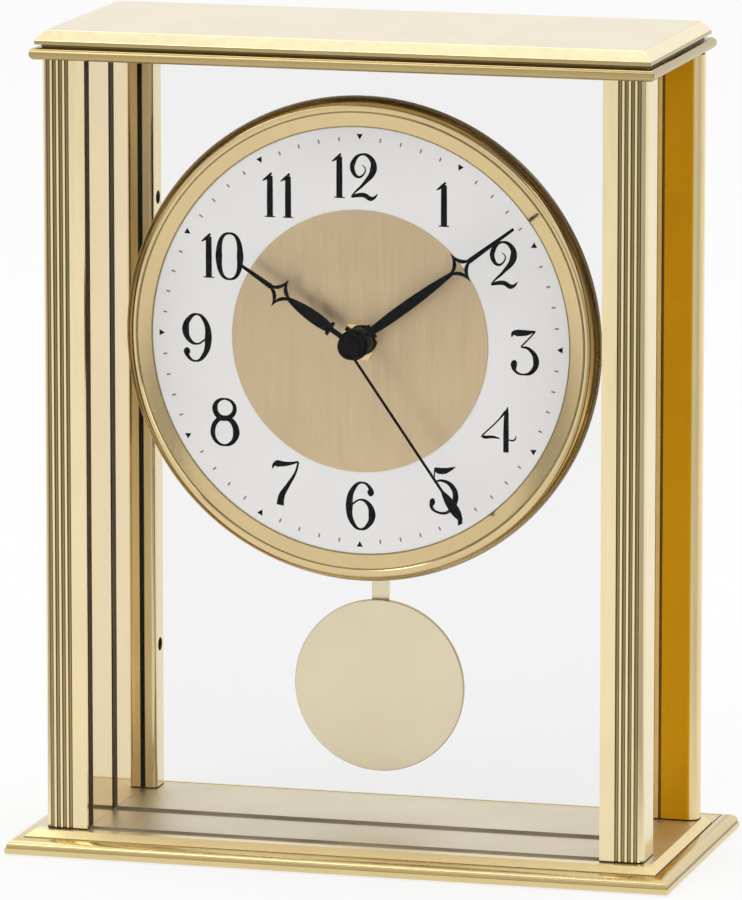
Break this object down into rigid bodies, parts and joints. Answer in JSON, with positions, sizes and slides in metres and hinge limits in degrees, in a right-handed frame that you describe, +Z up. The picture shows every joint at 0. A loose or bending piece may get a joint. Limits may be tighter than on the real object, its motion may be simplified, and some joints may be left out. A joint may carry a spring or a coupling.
{
  "type": "desk pendulum clock",
  "caption": "Glazed brass desk clock with fluted corner posts, a round white dial with black hands, and a disc pendulum swinging behind glass.",
  "frame": {"origin": "middle of the base at the level the felt feet stand on", "axes": "+Z up, -Y towards the viewer of the dial, +X to the viewer's right"},
  "size_m": [0.186, 0.086, 0.2262],
  "materials": {
    "polished_brass": "polished, lacquered",
    "satin_brass": "satin",
    "mirror_brass": "mirror polished",
    "clear_glass": "clear, ground edges",
    "dark_edge": "matte",
    "felt": "felt",
    "steel": "plain",
    "dial_white": "matte print",
    "dial_gold": "fine satin",
    "dial_backing": "plain",
    "hand_black": "satin lacquer",
    "case_black": "moulded",
    "wheel_plastic": "moulded",
    "arm_plastic": "moulded",
    "magnet_grey": "ground",
    "copper_wire": "enamelled winding",
    "board_green": "solder mask",
    "cell_wrap": "printed sleeve, plain",
    "contact_nickel": "nickel plate"
  },
  "bodies": {
    "case": {"base_plate": "polished_brass", "top_plate": "polished_brass", "top_slab": "polished_brass", "post_front_right": "polished_brass", "post_front_left": "polished_brass", "post_rear_right": "polished_brass", "post_rear_left": "polished_brass", "bezel": "polished_brass", "side_panel_right": "mirror_brass", "side_panel_left": "mirror_brass", "dial_nut": "satin_brass", "front_glass": "clear_glass", "carrier_glass": "clear_glass", "pane_strip_right": "dark_edge", "pane_strip_left": "dark_edge", "felt_feet": "felt", "tie_rods": "steel", "tie_nuts_base": "steel", "tie_nuts_top": "steel", "slab_screws": "steel", "train_screws": "steel", "cover_screws": "steel", "stator": "steel", "motor_core": "steel", "pendulum_pin": "steel", "dial_plate": "dial_white", "dial_centre": "dial_gold", "dial_pan": "dial_backing", "movement_case": "case_black", "movement_cover": "case_black", "switches": "case_black", "train_plate": "wheel_plastic", "train_bridge": "wheel_plastic", "antenna_rod": "magnet_grey", "motor_coil": "copper_wire", "drive_coil": "copper_wire", "antenna_coil": "copper_wire", "circuit_board": "board_green", "battery": "cell_wrap", "battery_contact_plus": "contact_nickel", "battery_contact_minus": "contact_nickel"},
    "second": {"second_hand": "hand_black", "seconds_wheel": "wheel_plastic"},
    "minute": {"minute_hand": "hand_black", "minute_wheel": "wheel_plastic"},
    "hour": {"hour_hand": "hand_black", "hour_wheel": "wheel_plastic"},
    "third": {"third_wheel": "wheel_plastic"},
    "motion": {"motion_wheel": "wheel_plastic"},
    "intermediate": {"intermediate_wheel": "wheel_plastic"},
    "rotor": {"rotor": "wheel_plastic"},
    "pendulum": {"pendulum_arm": "arm_plastic", "pendulum_magnet": "magnet_grey", "pendulum_rod": "satin_brass", "pendulum_bob": "satin_brass", "bob_clip": "steel"},
    "set_button": {"set_button": "case_black"},
    "receive_button": {"receive_button": "case_black"}
  },
  "joints": [
    {"name": "second_spin", "type": "hinge", "parent": "case", "child": "second", "pos_m": [0, 0, 0.142], "axis": [0, 1, 0], "continuous": true},
    {"name": "minute_spin", "type": "hinge", "parent": "case", "child": "minute", "pos_m": [0, 0, 0.142], "axis": [0, 1, 0], "continuous": true},
    {"name": "hour_spin", "type": "hinge", "parent": "case", "child": "hour", "pos_m": [0, 0, 0.142], "axis": [0, 1, 0], "continuous": true},
    {"name": "third_spin", "type": "hinge", "parent": "case", "child": "third", "pos_m": [-0.00883, 0, 0.1471], "axis": [0, 1, 0], "continuous": true},
    {"name": "motion_spin", "type": "hinge", "parent": "case", "child": "motion", "pos_m": [0.0048, 0, 0.13369], "axis": [0, 1, 0], "continuous": true},
    {"name": "intermediate_spin", "type": "hinge", "parent": "case", "child": "intermediate", "pos_m": [0.00789, 0, 0.13913], "axis": [0, 1, 0], "continuous": true},
    {"name": "rotor_spin", "type": "hinge", "parent": "case", "child": "rotor", "pos_m": [0.01617, 0, 0.14059], "axis": [0, 1, 0], "continuous": true},
    {"name": "pendulum_swing", "type": "hinge", "parent": "case", "child": "pendulum", "pos_m": [0, 0, 0.122], "axis": [0, 1, 0], "range_deg": [-4, 4]},
    {"name": "set_press", "type": "slide", "parent": "case", "child": "set_button", "axis": [0, -1, 0], "range_m": [0, 0.0008], "stiffness_N_per_m": 600, "springref_m": -0.0008},
    {"name": "receive_press", "type": "slide", "parent": "case", "child": "receive_button", "axis": [0, -1, 0], "range_m": [0, 0.0008], "stiffness_N_per_m": 600, "springref_m": -0.0008}
  ],
  "couplings": [
    {"joint": "minute_spin", "follows": "second_spin", "ratio": 0.016667},
    {"joint": "hour_spin", "follows": "second_spin", "ratio": 0.0013889},
    {"joint": "third_spin", "follows": "second_spin", "ratio": -0.13333},
    {"joint": "motion_spin", "follows": "second_spin", "ratio": -0.0055556},
    {"joint": "intermediate_spin", "follows": "second_spin", "ratio": -5},
    {"joint": "rotor_spin", "follows": "second_spin", "ratio": 30}
  ]
}
